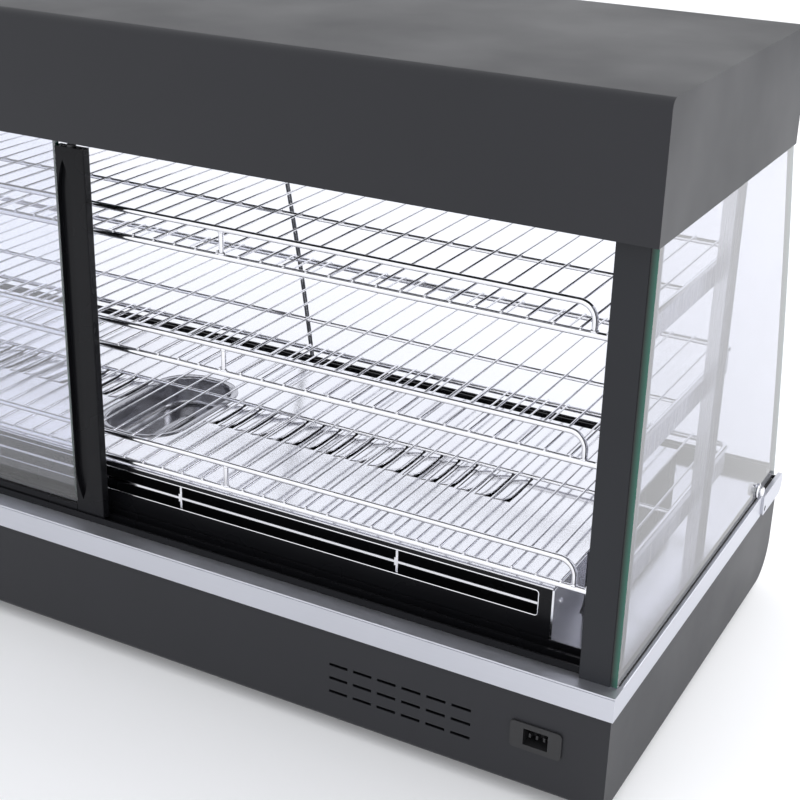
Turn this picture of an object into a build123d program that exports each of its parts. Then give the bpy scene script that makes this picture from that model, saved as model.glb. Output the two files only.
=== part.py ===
from build123d import *
import math
import os

# Heated countertop display case, 1.22 m wide.  Millimetres, +Z up.
# Origin: middle of the footprint, on the surface the feet stand on.
# -Y is the operator side with the sliding doors, +Y the customer side with the leaning glass.

# ---------------------------------------------------------------- driving dimensions
CANOPY_HALF_X = 610.0        # half width of canopy and trim
HALF_DEPTH = 257.5           # half depth over the trim
FOOT_H = 14.0
BASE_TOP = 136.0             # top of the inner deck sheet
CANOPY_BOTTOM = 541.0
CANOPY_TOP = 655.0
SHEET = 1.5                  # sheet metal of base and canopy

BASE_HALF_X = 608.0
BASE_Y_OPERATOR = -255.5
BASE_Y_CUSTOMER = 254.5
BASE_CUSTOMER_RADIUS = 40.0
BASE_OPERATOR_RADIUS = 6.0
BASE_CUSTOMER_TOP = 123.5

TRIM_TOP = 138.0
TRIM_BOTTOM = 113.5
TRIM_T = 2.0
LEDGE_BACK_Y = -236.8
SIDE_TRIM_END_Y = 184.0
BRACKET_BOTTOM = 114.0
STRAP_SCREW_Y = 192.0
STRAP_SCREW_Z = 120.5

GLASS_T = 6.0
SIDE_GLASS_OUT_X = 606.0
GLAZE_Y = -242.5             # face of the corner posts, edge of the side glass
SIDE_GLASS_BOTTOM = 139.0
SIDE_GLASS_TOP = 549.0
KNOB_Y = 176.0
KNOB_Z = 147.5
CURVE_R = 3000.0             # customer glass, outer face: arc through two points
CURVE_BOTTOM = (248.4, 139.0)
CURVE_TOP = (144.8, 531.0)
PANE_BOTTOM = 142.0
PANE_TOP = 559.0
JOINT_GAP = 2.2              # between the two customer panes, filled with sealant
RAIL_TOP = 148.5

POST_IN_X = 570.0
POST_OUT_X = 599.4
POST_BACK_Y = -219.5
POST_TOP = 560.0
POST_WALL = 2.0

PIVOT_Y = 250.5              # customer glass tilts about this line
PIVOT_Z = 131.0
PIVOT_R = 3.0
PIVOT_CLEARANCE = 0.05
BARREL_R = 4.5

TRACK_Y0 = -236.5
TRACK_Y1 = -209.0
TRACK_MID_Y0 = -224.3
TRACK_MID_Y1 = -222.7
TRACK_RIB = 1.5
TRACK_HALF_X = 569.5

DOOR_OUTER_Y = (-234.5, -224.8)
DOOR_INNER_Y = (-221.5, -211.8)
DOOR_GLASS_T = 5.0
DOOR_TOP = 552.0
STILE_W = 34.0
POCKET_OFFSET = 8.8          # finger pocket axis from the edge of the stile that meets the glass
POCKET_HALF_W = 7.4
GLASS_IN_STILE = 1.2
GLASS_IN_RAIL = 6.0
STILE_BOTTOM = 143.0
STILE_TOP = 529.5
BOTTOM_RAIL_TOP = 152.0
RIGHT_DOOR_X = (-549.0, 43.0)
LEFT_DOOR_X = (-569.0, -6.0)

SHELF_HALF_X = 571.0
SHELF_FRONT_Y = -203.0
SHELVES = {"top": (441.0, 92.0), "middle": (324.0, 126.0), "bottom": (200.2, 159.0)}
FRAME_ROD_R = 3.2
MID_ROD_R = 2.2
WIRE_R = 1.2
WIRE_PITCH = 24.2
WIRES_EACH_SIDE = 23         # cross wires either side of the middle one
GUARD_RISE = 27.0
GUARD_R = 2.8
GUARD_HALF_X = 544.5
GUARD_POST_X = 174.0
GUARD_BEND_R = 15.0

ARM_IN_X = 575.0
ARM_T = 3.0
ARM_H = 22.0
UPRIGHT_IN_X = 578.0
UPRIGHT_OUT_X = 590.0
UPRIGHT_TOP = 574.0
UPRIGHT_REAR_Y = (14.0, 46.0)
UPRIGHT_FRONT_Y = (-206.0, -182.0)

BOX_HALF_X = 526.5
BOX_Y = (-207.0, 128.5)
BOX_TOP = 194.8
BAFFLE_Y = -176.0            # sheet behind the slot that turns the warm air up
DECK_T = 1.2
SLOT_HALF_X = 513.5
SLOT_Z = (164.0, 190.0)
SLOT_BAR_Z = (175.6, 178.0)
LOUVRE_Y = (-76.0, -14.0)
LOUVRE_X0 = 65.1             # middle of the first hood on either side of the pan
LOUVRE_PITCH = 20.55
LOUVRE_COUNT = 18
LOUVRE_W = 5.0
LOUVRE_SLOT_OFFSET = 6.5
PAN_HALF_X = 46.0
PAN_Y = (-141.0, 21.0)
PAN_CORNER_R = 38.0
PAN_DEPTH = 34.0

RECESS_X = (-530.0, -240.0)
RECESS_Z = (34.0, 102.0)
RECESS_DEPTH = 20.0
TRAY_RIM = 7.0
VENT_X0 = 325.0
VENT_Z0 = 45.0
VENT_PITCH = 26.0
VENT_COLUMNS = 6
DIAL_X = -292.0
POWER_X = -495.0
LIGHT_X = -450.0
PILOT_X = -412.0
READOUT_X = -366.0
READOUT_W = 40.0
CONTROL_Z = 68.0
INLET_X = 540.0

nodes = {}


# ---------------------------------------------------------------- helpers
def slab(x, y, z):
    """Rectangular solid between pairs of limits."""
    centre = Pos((x[0] + x[1]) / 2, (y[0] + y[1]) / 2, (z[0] + z[1]) / 2)
    return centre * Box(x[1] - x[0], y[1] - y[0], z[1] - z[0])


def extrude_x(points, x0, x1):
    """Polygon of (y, z) points carried from x0 to x1."""
    face = make_face(Polyline(*points, close=True))
    return extrude(Plane.YZ.offset(x0) * face, amount=x1 - x0)


def rod_x(y, z, radius, x0, x1):
    return Pos((x0 + x1) / 2, y, z) * Rot(0, 90, 0) * Cylinder(radius, x1 - x0)


def rod_y(x, z, radius, y0, y1):
    return Pos(x, (y0 + y1) / 2, z) * Rot(90, 0, 0) * Cylinder(radius, y1 - y0)


def rod_z(x, y, radius, z0, z1):
    return Pos(x, y, (z0 + z1) / 2) * Cylinder(radius, z1 - z0)


def other_side(shape):
    """The same piece on the left-hand end of the case."""
    return mirror(shape, Plane.YZ)


def group(pieces):
    """Several separate solids kept in one node."""
    solids = [solid for piece in pieces for solid in piece.solids()]
    return Compound(solids)


def grown(limits, by):
    """A pair of limits moved apart by the same amount at each end."""
    return (limits[0] - by, limits[1] + by)


def round_x_edges(part, places):
    """Round the edges that run along X at each (y, z), with its own radius."""
    for y, z, radius in places:
        edges = [
            edge
            for edge in part.edges().filter_by(Axis.X)
            if abs(edge.center().Y - y) < 0.01 and abs(edge.center().Z - z) < 0.01
        ]
        part = fillet(edges, radius)
    return part


def curve_centre():
    """Centre of the arc that the customer glass follows, in (y, z)."""
    dy = CURVE_TOP[0] - CURVE_BOTTOM[0]
    dz = CURVE_TOP[1] - CURVE_BOTTOM[1]
    chord = math.hypot(dy, dz)
    reach = math.sqrt(CURVE_R**2 - (chord / 2) ** 2)
    mid_y = (CURVE_TOP[0] + CURVE_BOTTOM[0]) / 2
    mid_z = (CURVE_TOP[1] + CURVE_BOTTOM[1]) / 2
    return mid_y - reach * dz / chord, mid_z + reach * dy / chord


CURVE_Y, CURVE_Z = curve_centre()


def glass_y(z, inset=0.0):
    """Y of the customer glass at height z, a depth inset in from its outer face."""
    return CURVE_Y + math.sqrt((CURVE_R - inset) ** 2 - (z - CURVE_Z) ** 2)


def curved_band(z0, z1, inset0, inset1, x0, x1):
    """Strip between two faces parallel to the customer glass, from z0 to z1."""
    zm = (z0 + z1) / 2
    outer = ThreePointArc((glass_y(z0, inset0), z0), (glass_y(zm, inset0), zm), (glass_y(z1, inset0), z1))
    inner = ThreePointArc((glass_y(z1, inset1), z1), (glass_y(zm, inset1), zm), (glass_y(z0, inset1), z0))
    top = Line(outer @ 1, inner @ 0)
    bottom = Line(inner @ 1, outer @ 0)
    face = make_face([outer, top, inner, bottom])
    return extrude(Plane.YZ.offset(x0) * face, amount=x1 - x0)


# ---------------------------------------------------------------- base
def base_outline(grow, z_top):
    """Side profile of the base as a solid between z_top and the floor, shrunk by grow."""
    y0 = BASE_Y_OPERATOR + grow
    y1 = BASE_Y_CUSTOMER - grow
    z0 = FOOT_H + grow
    body = extrude_x([(y0, z0), (y1, z0), (y1, z_top), (y0, z_top)], -BASE_HALF_X, BASE_HALF_X)
    places = [(y1, z0, BASE_CUSTOMER_RADIUS - grow), (y0, z0, BASE_OPERATOR_RADIUS - grow)]
    return round_x_edges(body, places)


def readout_block(inset, y0, y1, half_height):
    """Block with the width of the readout, less an inset at each side."""
    half = READOUT_W / 2 - inset
    z = (CONTROL_Z - half_height, CONTROL_Z + half_height)
    return slab((READOUT_X - half, READOUT_X + half), (y0, y1), z)


def base_tub():
    """Operator panel, floor and rounded customer panel bent from one sheet, open where the tray sits."""
    ends = BASE_HALF_X - SHEET
    z_top = BASE_TOP - SHEET
    tub = base_outline(0, z_top) - base_outline(SHEET, z_top + 10)
    tub = tub & slab((-ends, ends), (-300, 300), (0, z_top))
    tub -= slab((-ends, ends), (200, 300), (BASE_CUSTOMER_TOP, z_top + 1))
    tub -= slab(grown(RECESS_X, SHEET), (-260, -250), grown(RECESS_Z, SHEET))
    tub -= slab((INLET_X - 15, INLET_X + 15), (-260, -250), (58, 82))
    for row in range(3):
        for col in range(VENT_COLUMNS):
            x = VENT_X0 + col * VENT_PITCH
            z = VENT_Z0 + row * 15
            tub -= slab((x, x + VENT_PITCH - 6), (-260, -250), (z, z + 3))
    return tub


def control_holes(part):
    """The part with the openings for switches, pilot lamp, readout and dial spindle cut through it."""
    depth = (-240, -220)
    for x in (POWER_X, LIGHT_X):
        part -= slab((x - 10.5, x + 10.5), depth, (CONTROL_Z - 14.5, CONTROL_Z + 14.5))
    for x in (DIAL_X, PILOT_X):
        part -= rod_y(x, CONTROL_Z, 4.5, *depth)
    return part - readout_block(2, *depth, 9)


def control_tray():
    """Folded tray in the operator panel, with a rim behind the panel and the controls at its back."""
    y0 = BASE_Y_OPERATOR
    back = y0 + RECESS_DEPTH
    tray = slab(grown(RECESS_X, SHEET), (y0, back + SHEET), grown(RECESS_Z, SHEET))
    tray += slab(grown(RECESS_X, TRAY_RIM), (y0 + SHEET, y0 + 2 * SHEET), grown(RECESS_Z, TRAY_RIM))
    tray -= slab(RECESS_X, (y0 - 1, back), RECESS_Z)
    return control_holes(tray)


def base_end():
    """Flat end panel with a notch where the customer glass pivots."""
    z_top = BASE_TOP - SHEET
    panel = base_outline(0, z_top) & slab((BASE_HALF_X - SHEET, BASE_HALF_X), (-300, 300), (0, 300))
    notch_y = PIVOT_Y - 12.5
    notch_z = PIVOT_Z - 10
    panel -= slab((600, 620), (notch_y, 300), (notch_z, 300))
    return panel


def base_deck():
    """Bright inner deck sheet that closes the base, with a gutter under the tilting glass."""
    inside = (-BASE_HALF_X + SHEET, BASE_HALF_X - SHEET)
    fold_y, gutter_z = 236.0, 113.0
    plate = slab((-BASE_HALF_X, BASE_HALF_X), (BASE_Y_OPERATOR, fold_y), (BASE_TOP - SHEET, BASE_TOP))
    fold = slab(inside, (fold_y - SHEET, fold_y), (gutter_z, BASE_TOP - SHEET))
    gutter = slab(inside, (fold_y - SHEET, BASE_Y_CUSTOMER - SHEET), (gutter_z - SHEET, gutter_z))
    return plate + fold + gutter


def rubber_feet():
    """Four turned rubber feet under the base floor."""
    feet = []
    for x in (-500, 500):
        for y in (-190, 180):
            foot = Pos(x, y, FOOT_H / 2) * Cylinder(17, FOOT_H)
            foot = chamfer(foot.edges().group_by(Axis.Z)[0], 2.5)
            feet.append(foot)
    return group(feet)


def trim_operator():
    """Ledge and face of the silver trim on the door side, with a shadow groove between."""
    y = -HALF_DEPTH
    ledge_z = TRIM_TOP - TRIM_T
    points = [
        (y, TRIM_BOTTOM), (y + TRIM_T, TRIM_BOTTOM), (y + TRIM_T, ledge_z), (LEDGE_BACK_Y, ledge_z),
        (LEDGE_BACK_Y, TRIM_TOP), (y + 0.5, TRIM_TOP), (y, TRIM_TOP - 0.5),
    ]
    bar = extrude_x(points, -CANOPY_HALF_X, CANOPY_HALF_X)
    groove = slab((-700, 700), (y - 1, y + 0.8), (TRIM_TOP - 1.9, TRIM_TOP - 1.3))
    return bar - groove


def trim_side():
    """Silver trim along one end of the base."""
    leg = slab(
        (BASE_HALF_X, CANOPY_HALF_X), (-HALF_DEPTH + TRIM_T, SIDE_TRIM_END_Y), (TRIM_BOTTOM, BASE_TOP)
    )
    flange_x = (SIDE_GLASS_OUT_X + 0.6, CANOPY_HALF_X)
    flange = slab(flange_x, (LEDGE_BACK_Y, SIDE_TRIM_END_Y), (BASE_TOP, TRIM_TOP))
    bar = leg + flange
    edge = [
        e for e in bar.edges().filter_by(Axis.Y)
        if abs(e.center().X - CANOPY_HALF_X) < 0.01 and abs(e.center().Z - TRIM_TOP) < 0.01
    ]
    return chamfer(edge, 0.5)


def trim_customer():
    """Silver trim along the customer side, below the tilting glass."""
    top = BASE_CUSTOMER_TOP + TRIM_T
    face = slab((-585, 585), (BASE_Y_CUSTOMER, BASE_Y_CUSTOMER + TRIM_T), (top - 24, top))
    lip = slab((-585, 585), (BASE_Y_CUSTOMER - SHEET, BASE_Y_CUSTOMER), (BASE_CUSTOMER_TOP, top))
    return face + lip


def corner_bracket():
    """Bright strap that carries on from the end trim and holds the glass pivot."""
    x0, x1 = BASE_HALF_X, 612.5
    z0 = BRACKET_BOTTOM
    strap = slab((x0, x1), (SIDE_TRIM_END_Y, HALF_DEPTH), (z0, TRIM_TOP))
    places = [
        (HALF_DEPTH, TRIM_TOP, 6.9), (HALF_DEPTH, z0, 12),
        (SIDE_TRIM_END_Y, TRIM_TOP, 2), (SIDE_TRIM_END_Y, z0, 4),
    ]
    strap = round_x_edges(strap, places)
    wrap = slab((585, x0), (BASE_Y_CUSTOMER, HALF_DEPTH), (z0, BASE_CUSTOMER_TOP))
    strap += wrap
    strap -= rod_x(PIVOT_Y, PIVOT_Z, PIVOT_R + PIVOT_CLEARANCE, 600, 611.5)
    strap -= rod_x(STRAP_SCREW_Y, STRAP_SCREW_Z, 3.2, 600, 620)
    return strap


def glass_knob():
    """Round clamp through the foot of one side glass."""
    y, z = KNOB_Y, KNOB_Z
    washer = rod_x(y, z, 8, SIDE_GLASS_OUT_X, SIDE_GLASS_OUT_X + 1.6)
    barrel = rod_x(y, z, 5.5, SIDE_GLASS_OUT_X + 1.6, 612.5)
    shank = rod_x(y, z, 3.9, SIDE_GLASS_OUT_X - GLASS_T, SIDE_GLASS_OUT_X)
    nut = rod_x(y, z, 7.5, SIDE_GLASS_OUT_X - GLASS_T - 3, SIDE_GLASS_OUT_X - GLASS_T)
    return washer + barrel + shank + nut


def small_screws():
    """Recessed strap screws and the heater box end-plate screws."""
    screws = []
    for side in (-1, 1):
        screws.append(rod_x(STRAP_SCREW_Y, STRAP_SCREW_Z, 2.9, *sorted((side * 608.1, side * 610.5))))
        for y, z in ((-190, 176), (-160, 176), (120, 176)):
            screws.append(rod_x(y, z, 3.2, *sorted((side * 528.5, side * 530.3))))
    return group(screws)


# ---------------------------------------------------------------- glazing
def side_glass():
    """End glass: straight door-side edge, customer edge following the curved glass."""
    inset = GLASS_T + 0.5
    z0, z1 = SIDE_GLASS_BOTTOM, SIDE_GLASS_TOP
    zm = (z0 + z1) / 2
    front = ThreePointArc((glass_y(z0, inset), z0), (glass_y(zm, inset), zm), (glass_y(z1, inset), z1))
    run = Polyline((glass_y(z1, inset), z1), (GLAZE_Y, z1), (GLAZE_Y, z0), (glass_y(z0, inset), z0))
    face = make_face([front, *run.edges()])
    pane = extrude(Plane.YZ.offset(SIDE_GLASS_OUT_X - GLASS_T) * face, amount=GLASS_T)
    lip_notch = slab((590, 620), (125.5, 300), (CANOPY_BOTTOM - 0.4, 600))
    return pane - lip_notch - rod_x(KNOB_Y, KNOB_Z, 4.0, 590, 620)


def side_seals():
    """Black strips: between each post and its glass, and a channel under each glass."""
    inner = SIDE_GLASS_OUT_X - GLASS_T
    post_strip = slab((POST_OUT_X, inner), (GLAZE_Y, POST_BACK_Y), (142, CANOPY_BOTTOM))
    sole_x = (inner - 0.5, SIDE_GLASS_OUT_X + 0.5)
    sole = slab(sole_x, (LEDGE_BACK_Y + 0.3, 231.5), (BASE_TOP, SIDE_GLASS_BOTTOM))
    lip_z = (SIDE_GLASS_BOTTOM, 139.5)
    out_lip = slab((SIDE_GLASS_OUT_X, SIDE_GLASS_OUT_X + 0.5), (LEDGE_BACK_Y + 0.3, 231.5), lip_z)
    in_lip = slab((inner - 0.5, inner), (POST_BACK_Y + 0.5, 231.5), lip_z)
    channel = sole + out_lip + in_lip
    return group([post_strip, channel, other_side(post_strip), other_side(channel)])


def customer_pane():
    """Right half of the leaning customer glass."""
    return curved_band(PANE_BOTTOM, PANE_TOP, 0, GLASS_T, JOINT_GAP / 2, SIDE_GLASS_OUT_X)


def customer_joint():
    """Slim joint strip between the two customer panes."""
    return curved_band(RAIL_TOP + 0.5, PANE_TOP - 6, 0.2, GLASS_T, -JOINT_GAP / 2, JOINT_GAP / 2)


def customer_rail():
    """Black channel along the foot of the customer glass, with its hinge barrel and end pins."""
    x1 = 598.0
    z0, z1 = 137.5, RAIL_TOP
    body = curved_band(z0, z1, -1.8, GLASS_T + 1.8, -x1, x1)
    body -= curved_band(PANE_BOTTOM, z1 + 1, 0, GLASS_T, -x1 - 1, x1 + 1)
    hinge = slab((-x1, x1), (PIVOT_Y - BARREL_R, PIVOT_Y + BARREL_R), (PIVOT_Z - 1, z0 + 0.8))
    hinge += rod_x(PIVOT_Y, PIVOT_Z, BARREL_R, -x1, x1)
    pins = rod_x(PIVOT_Y, PIVOT_Z, PIVOT_R, -611.2, 611.2)
    return body + hinge + pins


def corner_post():
    """Black hollow post at one end of the door opening."""
    z = (TRIM_TOP, POST_TOP)
    outer = slab((POST_IN_X, POST_OUT_X), (GLAZE_Y, POST_BACK_Y), z)
    outer = fillet(outer.edges().filter_by(Axis.Z), 1.0)
    bore = slab(
        (POST_IN_X + POST_WALL, POST_OUT_X - POST_WALL), (GLAZE_Y + POST_WALL, POST_BACK_Y - POST_WALL),
        (TRIM_TOP + 4, POST_TOP + 1),
    )
    foot = slab((POST_IN_X + 1, POST_OUT_X - 1), (LEDGE_BACK_Y + 0.3, POST_BACK_Y - 1), (BASE_TOP, TRIM_TOP))
    return outer - bore + foot


# ---------------------------------------------------------------- doors
def track(z_base, z_rib, x_half):
    """Two-groove door track: a base strip with three ribs."""
    strip = slab((-x_half, x_half), (TRACK_Y0, TRACK_Y1), sorted_pair(*z_base))
    ribs = ((TRACK_Y0, TRACK_Y0 + TRACK_RIB), (TRACK_MID_Y0, TRACK_MID_Y1), (TRACK_Y1 - TRACK_RIB, TRACK_Y1))
    for y in ribs:
        strip += slab((-x_half, x_half), y, sorted_pair(z_base[1], z_rib))
    return strip


def sorted_pair(a, b):
    return (min(a, b), max(a, b))


def door_track_lower():
    """Bottom track with a low runner rail in each groove."""
    strip = track((BASE_TOP, BASE_TOP + 2), 145.0, TRACK_HALF_X)
    for y0, y1 in (DOOR_OUTER_Y, DOOR_INNER_Y):
        mid = (y0 + y1) / 2
        strip += slab((-TRACK_HALF_X, TRACK_HALF_X), (mid - 1, mid + 1), (BASE_TOP + 2, 141))
    return strip


def door_track_upper():
    """Top track, grooves down, hung from the canopy skirt by its flange."""
    strip = track((558.0, 556.0), 545.0, TRACK_HALF_X)
    flange = slab((-TRACK_HALF_X, TRACK_HALF_X), (-255, TRACK_Y1), (558, 560))
    return strip + flange


def pocket_outline(x_mid):
    """Leaf-shaped finger pocket: two long sides closed by arcs to a point at each end."""
    top, bottom, taper = 517.0, 160.0, 36.0
    left = x_mid - POCKET_HALF_W
    right = x_mid + POCKET_HALF_W
    sides = [
        ThreePointArc((x_mid, top), (left + 2.2, top - 0.45 * taper), (left, top - taper)),
        Line((left, top - taper), (left, bottom + taper)),
        ThreePointArc((left, bottom + taper), (left + 2.2, bottom + 0.45 * taper), (x_mid, bottom)),
        ThreePointArc((x_mid, bottom), (right - 2.2, bottom + 0.45 * taper), (right, bottom + taper)),
        Line((right, bottom + taper), (right, top - taper)),
        ThreePointArc((right, top - taper), (right - 2.2, top - 0.45 * taper), (x_mid, top)),
    ]
    return make_face(sides)


def door_frame(x_range, y_range, stile_on_right):
    """Handle stile with a leaf-shaped pocket, and the bottom rail, around one glass."""
    x0, x1 = x_range
    stile_x = (x1 - STILE_W, x1) if stile_on_right else (x0, x0 + STILE_W)
    rail_x = (x0, x1 - STILE_W) if stile_on_right else (x0 + STILE_W, x1)
    stile = slab(stile_x, y_range, (STILE_BOTTOM, STILE_TOP))
    stile = fillet(stile.edges().filter_by(Axis.Z), 1.2)
    pocket_x = stile_x[0] + POCKET_OFFSET if stile_on_right else stile_x[1] - POCKET_OFFSET
    face = Plane.XZ.offset(-y_range[0] + 1) * pocket_outline(pocket_x)
    stile -= extrude(face, amount=-6.0)
    rail = slab(rail_x, y_range, (STILE_BOTTOM, BOTTOM_RAIL_TOP))
    mid = (y_range[0] + y_range[1]) / 2
    foot_slot = slab((x0 - 1, x1 + 1), (mid - 1.5, mid + 1.5), (STILE_BOTTOM - 1, STILE_BOTTOM + 1.5))
    return stile + rail - foot_slot - door_glass_body(x_range, y_range, stile_on_right)


def door_glass_body(x_range, y_range, stile_on_right):
    """Glass of one door, let into the edge of the stile and into the bottom rail."""
    x0, x1 = x_range
    mid = (y_range[0] + y_range[1]) / 2
    half = DOOR_GLASS_T / 2
    reach = STILE_W - GLASS_IN_STILE
    glass_x = (x0, x1 - reach) if stile_on_right else (x0 + reach, x1)
    visible = slab(glass_x, (mid - half, mid + half), (BOTTOM_RAIL_TOP - GLASS_IN_RAIL, STILE_TOP))
    above_x = (x0, x1 - STILE_W - 0.5) if stile_on_right else (x0 + STILE_W + 0.5, x1)
    above = slab(above_x, (mid - half, mid + half), (STILE_TOP, DOOR_TOP))
    return visible + above


def door_guides(x_range, y_range, stile_on_right):
    """Guide pin on top of the stile, and two nylon shoes under the door."""
    x0, x1 = x_range
    mid = (y_range[0] + y_range[1]) / 2
    stile_mid = x1 - STILE_W / 2 if stile_on_right else x0 + STILE_W / 2
    washer = rod_z(stile_mid, mid, 4.4, STILE_TOP, STILE_TOP + 2.5)
    pin = rod_z(stile_mid, mid, 2.4, STILE_TOP + 2.5, DOOR_TOP)
    pieces = [washer + pin]
    for x in (x0 + 60, x1 - 60):
        shoe = slab((x - 15, x + 15), (mid - 4, mid + 4), (139.5, STILE_BOTTOM))
        shoe -= slab((x - 16, x + 16), (mid - 1.5, mid + 1.5), (139, STILE_BOTTOM + 1))
        pieces.append(shoe)
    return group(pieces)


# ---------------------------------------------------------------- shelves
def upright(y_range):
    """Slotted U-channel upright beside one end glass."""
    y0, y1 = y_range
    body = slab((UPRIGHT_IN_X, UPRIGHT_OUT_X), y_range, (BASE_TOP, UPRIGHT_TOP))
    body -= slab((UPRIGHT_IN_X + SHEET, 600), (y0 + SHEET, y1 - SHEET), (BASE_TOP - 1, UPRIGHT_TOP + 1))
    mid = (y0 + y1) / 2
    first, pitch, count = 163.0, 25.0, 16
    for i in range(count):
        z = first + i * pitch
        body -= slab((UPRIGHT_IN_X - 1, UPRIGHT_IN_X + 3), (mid - 2.5, mid + 2.5), (z, z + 13))
    return body


def shelf_arm(z_bar, y_far):
    """L-section arm on one side: upstand beside the shelf, shelf sits on its foot."""
    top = z_bar + FRAME_ROD_R + 2 * WIRE_R
    seat = z_bar - FRAME_ROD_R
    upstand = slab((ARM_IN_X, ARM_IN_X + ARM_T), (-205, y_far - 30), (top - ARM_H, top))
    foot = slab((ARM_IN_X - 10, ARM_IN_X), (-205, y_far - 30), (seat - 2, seat))
    return upstand + foot


def shelf_arms(level):
    z_bar, y_far = SHELVES[level]
    arm = shelf_arm(z_bar, y_far)
    return group([arm, other_side(arm)])


def shelf_grid(level):
    """Rod frame with rounded corners, a middle rod and cross wires welded on top."""
    z_bar, y_far = SHELVES[level]
    corner = 9.0
    width = 2 * SHELF_HALF_X
    depth = y_far - SHELF_FRONT_Y
    y_mid = (y_far + SHELF_FRONT_Y) / 2
    loop = Pos(0, y_mid, z_bar) * RectangleRounded(width, depth, corner).wire()
    start = Plane(origin=(0, SHELF_FRONT_Y, z_bar), x_dir=(0, 1, 0), z_dir=(1, 0, 0))
    frame = sweep(start * Circle(FRAME_ROD_R), path=loop)
    sink = 0.3
    mid_z = z_bar + FRAME_ROD_R - MID_ROD_R
    middle = rod_x(y_mid, mid_z, MID_ROD_R, -SHELF_HALF_X, SHELF_HALF_X)
    wire_z = z_bar + FRAME_ROD_R + WIRE_R - sink
    wires = []
    for i in range(-WIRES_EACH_SIDE, WIRES_EACH_SIDE + 1):
        wires.append(rod_y(i * WIRE_PITCH, wire_z, WIRE_R, SHELF_FRONT_Y - 1.5, y_far + 1.5))
    return frame.fuse(middle, *wires)


def guard_rail(level):
    """Front guard: one rod bent down at both ends, with two short posts between."""
    z_bar = SHELVES[level][0]
    z_rail = z_bar + GUARD_RISE
    foot = z_bar + FRAME_ROD_R
    y = SHELF_FRONT_Y
    x = GUARD_HALF_X
    path = FilletPolyline((-x, y, foot), (-x, y, z_rail), (x, y, z_rail), (x, y, foot), radius=GUARD_BEND_R)
    start = Plane(origin=(-x, y, foot), z_dir=(0, 0, 1))
    rail = sweep(start * Circle(GUARD_R), path=path)
    for x in (-GUARD_POST_X, GUARD_POST_X):
        rail += rod_z(x, y, GUARD_R - 0.4, foot, z_rail)
    return rail


# ---------------------------------------------------------------- heater box and deck
def louvre_places():
    """X of every louvre slot.  All slots face +X, so each lies right of the middle of its hood."""
    hoods = [LOUVRE_X0 + i * LOUVRE_PITCH for i in range(LOUVRE_COUNT)]
    return [side * x + LOUVRE_SLOT_OFFSET for side in (1, -1) for x in hoods]


def deck_plate():
    """Stainless deck over the heater with two louvre groups and the pan opening."""
    x = BOX_HALF_X + 0.5
    plate = slab((-x, x), BOX_Y, (BOX_TOP, BOX_TOP + DECK_T))
    for x_slot in louvre_places():
        plate -= slab((x_slot - LOUVRE_W / 2, x_slot + LOUVRE_W / 2), LOUVRE_Y, (BOX_TOP - 1, BOX_TOP + 3))
    return plate - pan_prism(0, BOX_TOP - 1, BOX_TOP + 3)


def pan_prism(grow, z0, z1):
    """Upright prism with the outline of the water pan."""
    y_mid = (PAN_Y[0] + PAN_Y[1]) / 2
    length = PAN_Y[1] - PAN_Y[0] + 2 * grow
    outline = RectangleRounded(2 * (PAN_HALF_X + grow), length, PAN_CORNER_R + grow)
    return extrude(Pos(0, y_mid, z0) * outline, amount=z1 - z0)


def water_pan():
    """Drop-in stainless water pan with a flat rim resting on the deck."""
    rim_z = BOX_TOP + DECK_T
    rim = pan_prism(7, rim_z, rim_z + 0.9)
    body = pan_prism(-0.5, rim_z - PAN_DEPTH, rim_z)
    bottom = body.edges().group_by(Axis.Z)[0]
    body = fillet(bottom, 8)
    hollow = pan_prism(-1.5, rim_z - PAN_DEPTH + 1, rim_z + 2)
    hollow = fillet(hollow.edges().group_by(Axis.Z)[0], 7)
    return rim + body - hollow


def heater_box():
    """Black box walls round the heater, with the warm-air slot and a baffle sheet behind it."""
    walls = slab((-BOX_HALF_X, BOX_HALF_X), BOX_Y, (BASE_TOP, BOX_TOP))
    inner_x = BOX_HALF_X - SHEET
    walls -= slab((-inner_x, inner_x), (BOX_Y[0] + SHEET, BOX_Y[1] - SHEET), (BASE_TOP - 1, BOX_TOP + 1))
    walls -= slab((-SLOT_HALF_X, SLOT_HALF_X), (BOX_Y[0] - 1, BOX_Y[0] + 3), SLOT_Z)
    baffle = slab((-inner_x, inner_x), (BAFFLE_Y, BAFFLE_Y + SHEET), (BASE_TOP, BOX_TOP - 10))
    return walls + baffle


def slot_bar():
    """Bright divider bar along the slot, with its small clips."""
    y = BOX_Y[0]
    bar = slab((-SLOT_HALF_X, SLOT_HALF_X), (y + 0.2, y + SHEET - 0.2), SLOT_BAR_Z)
    for x in (-368, -120, 120, 368):
        bar += slab((x - 1.2, x + 1.2), (y + SHEET, y + SHEET + 1.5), (SLOT_Z[0] - 4, SLOT_Z[1] + 3))
        bar += slab((x - 2, x + 2), (y + 0.2, y + SHEET), (SLOT_BAR_Z[0] - 3, SLOT_BAR_Z[1] + 3))
    return bar


def heater_end_plates():
    """Bright end plates over the box corners at the door side."""
    plate = slab((BOX_HALF_X, BOX_HALF_X + 2), (BOX_Y[0], -130), (BASE_TOP, BOX_TOP - 0.5))
    edges = [e for e in plate.edges().filter_by(Axis.X) if e.center().Y > -140 and e.center().Z < 150]
    plate = fillet(edges, 14)
    return group([plate, other_side(plate)])


def heating_elements():
    """Two hairpin tube elements lying in the heater box."""
    z = 147.0
    elements = []
    for y in (-60, 80):
        corners = [(-500, y - 30, z), (480, y - 30, z), (480, y + 30, z), (-500, y + 30, z)]
        path = FilletPolyline(*corners, radius=28)
        start = Plane(origin=(-500, y - 30, z), z_dir=(1, 0, 0))
        elements.append(sweep(start * Circle(4), path=path))
    return group(elements)


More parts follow.
